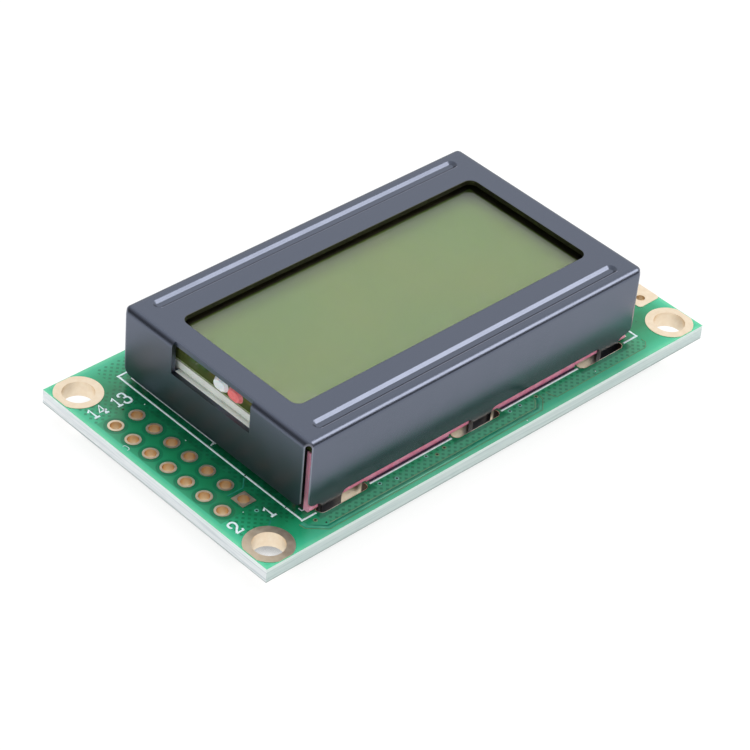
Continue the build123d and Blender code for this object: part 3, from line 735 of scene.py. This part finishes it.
# %% [markdown]
# The light box does not reach the bezel's left wall. A pale strip closes the gap between them, just
# below the opening's sill, so that no light gets out. It is a straight line of the same kind.

# %% A closing strip beside the light box
white_strip = soft_finish("white_strip", (222, 228, 220), (236, 240, 234), 0.5, 0.1, 1.5).material
strip_x, strip_bottom = -21.2, 7.62
strip_line = [[(strip_x, -5.2), (strip_x, 5.8)]]
printed(
    "closing_strip", strip_line, width=0.56, thickness=0.5, ink=white_strip, base=strip_bottom,
    slot="white_moulding",
)

# %% [markdown]
# ## Tracks and vias
#
# A few copper tracks can be seen through the lacquer as slightly raised bands: a broad one that follows
# the front edge to a via, and thin ones beside pin 1. They are swept with the same tree as the print,
# in a lacquer of their own. The edge of the copper shows as a thin brownish line.

# %% Lacquer over copper
def glossy_line(name, dark, pale):
    """A lacquer over copper: two shades in a slow noise, as glossy as the board."""
    made = Finish(name, IOR=1.5, Roughness=0.2)
    made.colour(made.noise(2.0, 2), (0.3, linear(*dark)), (0.7, linear(*pale)))
    made.bump(made.noise(0.35, 2), 0.002)
    return made.material


track_lacquer = glossy_line("track_lacquer", (34, 142, 108), (52, 160, 128))
copper_edge = glossy_line("copper_edge", (84, 128, 92), (104, 150, 108))
thin_track = glossy_line("thin_track_lacquer", (18, 112, 92), (40, 140, 116))

# %% Tracks
track_height, outline_height = 0.012, 0.014
band = [[(7.55, -13.7), (7.4, -14.2), (6.4, -15.15), (-20.9, -15.15), (-22.35, -13.9), (-22.45, -13.3)]]
printed("front_track", band, width=0.5, thickness=track_height, ink=track_lacquer)
outlines = [
    [(7.1, -13.7), (7.0, -14.05), (6.2, -14.82), (-20.4, -14.82)],
    [(7.95, -13.7), (7.8, -14.3), (6.6, -15.47), (-21.0, -15.47), (-22.68, -14.0), (-22.75, -13.3)],
    [(8.8, -13.7), (8.8, -14.0), (9.1, -14.9), (21.7, -14.9), (22.4, -14.3), (22.4, -13.7)],
]
printed("copper_outlines", outlines, width=0.08, thickness=outline_height, ink=copper_edge)
pin_tracks = [
    [(-25.3, -6.37), (-23.4, -6.37), (-22.45, -5.4)],
    [(-24.4, -11.3), (-25.2, -11.9), (-26.6, -11.7)],
]
printed("pin_tracks", pin_tracks, width=0.16, thickness=track_height, ink=thin_track)

# %% [markdown]
# A via is a small plated hole that joins the two sides. Seen from above it is a ring with a dark
# middle. A second tree puts one small ring on each point of a loose mesh. It serves the rings, the
# dark middles, small dots where the print is chipped, and specks of ink, in other sizes and materials.

# %% A tree for small rings
ring_tree, given, result = new_tree(
    "small_ring",
    ("Radius", "NodeSocketFloat"), ("Width", "NodeSocketFloat"), ("Thickness", "NodeSocketFloat"),
    ("Finish", "NodeSocketMaterial"),
)
circle, section, sweep, spread, realize, finish_node = add_nodes(
    ring_tree, "GeometryNode",
    "CurvePrimitiveCircle", "CurvePrimitiveQuadrilateral", "CurveToMesh", "InstanceOnPoints",
    "RealizeInstances", "SetMaterial",
)
circle.inputs["Resolution"].default_value = 16
chain(ring_tree, (given, 0), (spread, "Points"), (realize, 0), (finish_node, 0), (result, 0))
link(
    ring_tree,
    (given, "Radius", circle, "Radius"),
    (given, "Width", section, "Width"),
    (given, "Thickness", section, "Height"),
    (circle, 0, sweep, "Curve"),
    (section, 0, sweep, "Profile Curve"),
    (sweep, 0, spread, "Instance"),
    (given, "Finish", finish_node, "Material"),
)


def small_rings(name, places, outside, inside, thickness, finish):
    """Flat rings on the board at (x, y) places, all in millimetres."""
    points = [(x, y, board_top + thickness / 2) for x, y in places]
    radius, width = (outside + inside) / 2 * MM, (outside - inside) * MM
    sizes = {"Radius": radius, "Width": width, "Thickness": thickness * MM}
    grown(name, ring_tree, points, [], "board_laminate", Finish=finish, **sizes)


# %% Vias and specks
open_vias = [(-21.18, -13.75), (-6.02, -13.95), (-4.8, -13.65), (7.55, -13.6)]
pale_vias = [(-13.1, -13.65), (-11.35, -14.1), (-7.03, -13.5), (3.95, -13.62), (5.35, -13.6), (-24.5, -9.5)]
lacquer_dots = [(-22.15, -5.2), (-22.15, -10.8), (-24.9, 9.1), (-20.6, -14.6)]
specks = [(4.28, -15.65), (-22.83, 8.43), (15.0, -14.45), (-23.2, 2.0), (-25.6, -8.9)]
dark_hole = glossy_line("via_hole", (22, 34, 26), (40, 52, 40))
pale_ring = glossy_line("via_ring", (96, 176, 158), (124, 198, 182))
small_rings("via_rings", open_vias, outside=0.24, inside=0.12, thickness=outline_height, finish=copper_edge)
small_rings(
    "pale_via_rings", pale_vias, outside=0.23, inside=0.12, thickness=outline_height, finish=pale_ring
)
small_rings("via_holes", open_vias + pale_vias, outside=0.14, inside=0.01, thickness=0.012, finish=dark_hole)
small_rings("print_dots", lacquer_dots, outside=0.09, inside=0.01, thickness=0.034, finish=dark_hole)
small_rings("ink_specks", specks, outside=0.055, inside=0.01, thickness=ink_height, finish=white_ink)

# %% [markdown]
# ## The studio
#
# A plain pale floor, a white surround and soft lamps. The floor and the surround are white to the
# camera, through the Light Path node, while the light that they throw on the object stays at a plain
# level. The floor is darker where the board covers it closely, and from below it is not there. What
# glossy surfaces mirror is a soft gradient: white overhead and to the right, falling off towards the
# left and the horizon. It is what models the black paint. A tall softbox at the front right draws the
# bright lines along the bezel's front bend and in its grooves.

# %% A helper for the ranges of stage materials
def set_range(node, from_min, from_max, to_min, to_max):
    """Set the limits of a Map Range node."""
    limits = {"From Min": from_min, "From Max": from_max, "To Min": to_min, "To Max": to_max}
    for socket, value in limits.items():
        node.inputs[socket].default_value = value


# %% The floor's sheet
floor_mesh = bpy.data.meshes.new("floor")
reach = 1.5
corners = [(-reach, -reach, 0), (reach, -reach, 0), (reach, reach, 0), (-reach, reach, 0)]
floor_mesh.from_pydata(corners, [], [(0, 1, 2, 3)])
floor = bpy.data.objects.new("floor", floor_mesh)
bpy.context.scene.collection.objects.link(floor)
paper = bpy.data.materials.new("white_paper")
paper.use_nodes = True
tree = paper.node_tree
tree.nodes.remove(tree.nodes["Principled BSDF"])

# %% White to the camera, plain to the lamps
path, lit, shown, glow, both, either, seen, choose = add_nodes(
    tree, "ShaderNode",
    "LightPath", "BsdfDiffuse", "BsdfDiffuse", "Emission", "AddShader", "Math", "Math", "MixShader",
)
lit.inputs["Color"].default_value = (0.8, 0.8, 0.8, 1)
shown.inputs["Color"].default_value = (0.14, 0.14, 0.14, 1)
either.operation = seen.operation = "MAXIMUM"
link(
    tree,
    (path, "Is Glossy Ray", either, 0),
    (path, "Is Transmission Ray", either, 1),
    (path, "Is Camera Ray", seen, 0),
    (either, 0, seen, 1),
    (shown, 0, both, 0),
    (glow, 0, both, 1),
    (seen, 0, choose, 0),
    (lit, 0, choose, 1),
    (both, 0, choose, 2),
)

# %% Darker under the board, and nothing from below
cover, share, side, below, nothing = add_nodes(
    tree, "ShaderNode", "AmbientOcclusion", "MapRange", "NewGeometry", "MixShader", "BsdfTransparent"
)
cover.inputs["Distance"].default_value = 8 * MM
set_range(share, 0.03, 0.2, 0.24, 0.9)
link(
    tree,
    (cover, "AO", share, "Value"),
    (share, 0, glow, "Strength"),
    (side, "Backfacing", below, 0),
    (choose, 0, below, 1),
    (nothing, 0, below, 2),
    (below, 0, tree.nodes["Material Output"], "Surface"),
)
floor_mesh.materials.append(paper)

# %% Surround
world = bpy.data.worlds.new("surround")
bpy.context.scene.world = world
world.use_nodes = True
tree = world.node_tree
background = tree.nodes["Background"]
background.inputs["Color"].default_value = (1, 1, 1, 1)
path, seen, plain_light, direction, towards, gradient, strength = add_nodes(
    tree, "ShaderNode", "LightPath", "Math", "MapRange", "TexCoord", "VectorMath", "MapRange", "Mix"
)
seen.operation = "MAXIMUM"
set_range(plain_light, 0.0, 1.0, 0.62, 1.0)
towards.operation = "DOT_PRODUCT"
towards.inputs[1].default_value = Vector((0.55, 0.2, 0.8)).normalized()
gradient.interpolation_type = "SMOOTHSTEP"
set_range(gradient, 0.15, 0.9, 0.12, 1.0)
link(
    tree,
    (path, "Is Camera Ray", seen, 0),
    (path, "Is Transmission Ray", seen, 1),
    (seen, 0, plain_light, "Value"),
    (direction, "Generated", towards, 0),
    (towards, "Value", gradient, "Value"),
    (path, "Is Glossy Ray", strength, "Factor"),
    (plain_light, 0, strength, "A"),
    (gradient, 0, strength, "B"),
    (strength, 0, background, "Strength"),
)


# %% Lamps
def softbox(name, direction, distance, width, height, power, colour=(1.0, 1.0, 1.0)):
    """A soft rectangular lamp that looks at the middle of the object from a direction."""
    lamp = bpy.data.lights.new(name, "AREA")
    lamp.shape, lamp.size, lamp.size_y, lamp.energy, lamp.color = "RECTANGLE", width, height, power, colour
    box = bpy.data.objects.new(name, lamp)
    box.location = Vector(direction).normalized() * distance
    box.rotation_euler = (-box.location).to_track_quat("-Z", "Y").to_euler()
    bpy.context.scene.collection.objects.link(box)
    return box


softbox("front_softbox", (0.57, -0.45, 0.66), 0.5, 0.22, 0.26, 0.75, (1.0, 0.93, 0.87))
softbox("rear_softbox", (0.3, 0.75, 1.1), 0.6, 0.5, 0.4, 2.2).visible_glossy = False
softbox("low_left_softbox", (-1.0, -0.5, 0.14), 0.5, 0.25, 0.1, 0.4)
